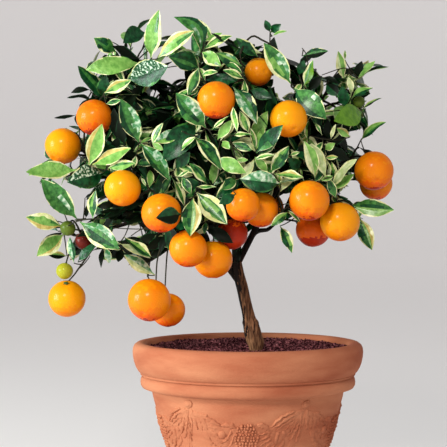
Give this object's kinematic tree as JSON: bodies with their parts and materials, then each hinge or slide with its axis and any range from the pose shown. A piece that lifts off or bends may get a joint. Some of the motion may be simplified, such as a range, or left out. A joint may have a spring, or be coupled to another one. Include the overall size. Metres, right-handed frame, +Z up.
{
  "type": "potted orange tree",
  "caption": "Small leaning orange tree with cream-edged leaves and ripe round fruit, standing in a terracotta pot with a rolled rim and moulded garlands.",
  "frame": {"origin": "centre of the pot's flat underside", "axes": "+Z up along the pot's axis, -Y towards the side the picture shows, +X to that view's right"},
  "size_m": [0.3906, 0.317, 0.5354],
  "materials": {
    "terracotta": "matt fired clay, dusty in the mouldings",
    "soil": "dark crumbly potting soil",
    "bark": "rough grey-brown bark with long streaks",
    "foliage": "glossy green leaves with cream edges, waxy oranges"
  },
  "bodies": {
    "root": {"pot": "terracotta", "soil": "soil", "trunk": "bark", "bough_left_low": "bark", "bough_left_mid": "bark", "bough_top_left": "bark", "bough_top_mid": "bark", "bough_top_right": "bark", "bough_right_mid": "bark", "bough_right_low": "bark", "bough_front_left": "bark", "bough_front_top": "bark", "bough_front_right": "bark", "bough_front_low": "bark", "bough_low_left": "bark", "bough_inner": "bark", "bough_back_left": "bark", "bough_back_top": "bark", "bough_back_mid": "bark", "bough_back_right": "bark", "bough_back_low_left": "bark", "bough_back_low_right": "bark", "foliage_left_low": "foliage", "foliage_left_mid": "foliage", "foliage_top_left": "foliage", "foliage_top_mid": "foliage", "foliage_top_right": "foliage", "foliage_right_mid": "foliage", "foliage_right_low": "foliage", "foliage_front_left": "foliage", "foliage_front_top": "foliage", "foliage_front_right": "foliage", "foliage_front_low": "foliage", "foliage_low_left": "foliage", "foliage_inner": "foliage", "foliage_back_left": "foliage", "foliage_back_top": "foliage", "foliage_back_mid": "foliage", "foliage_back_right": "foliage", "foliage_back_low_left": "foliage", "foliage_back_low_right": "foliage"}
  },
  "joints": []
}
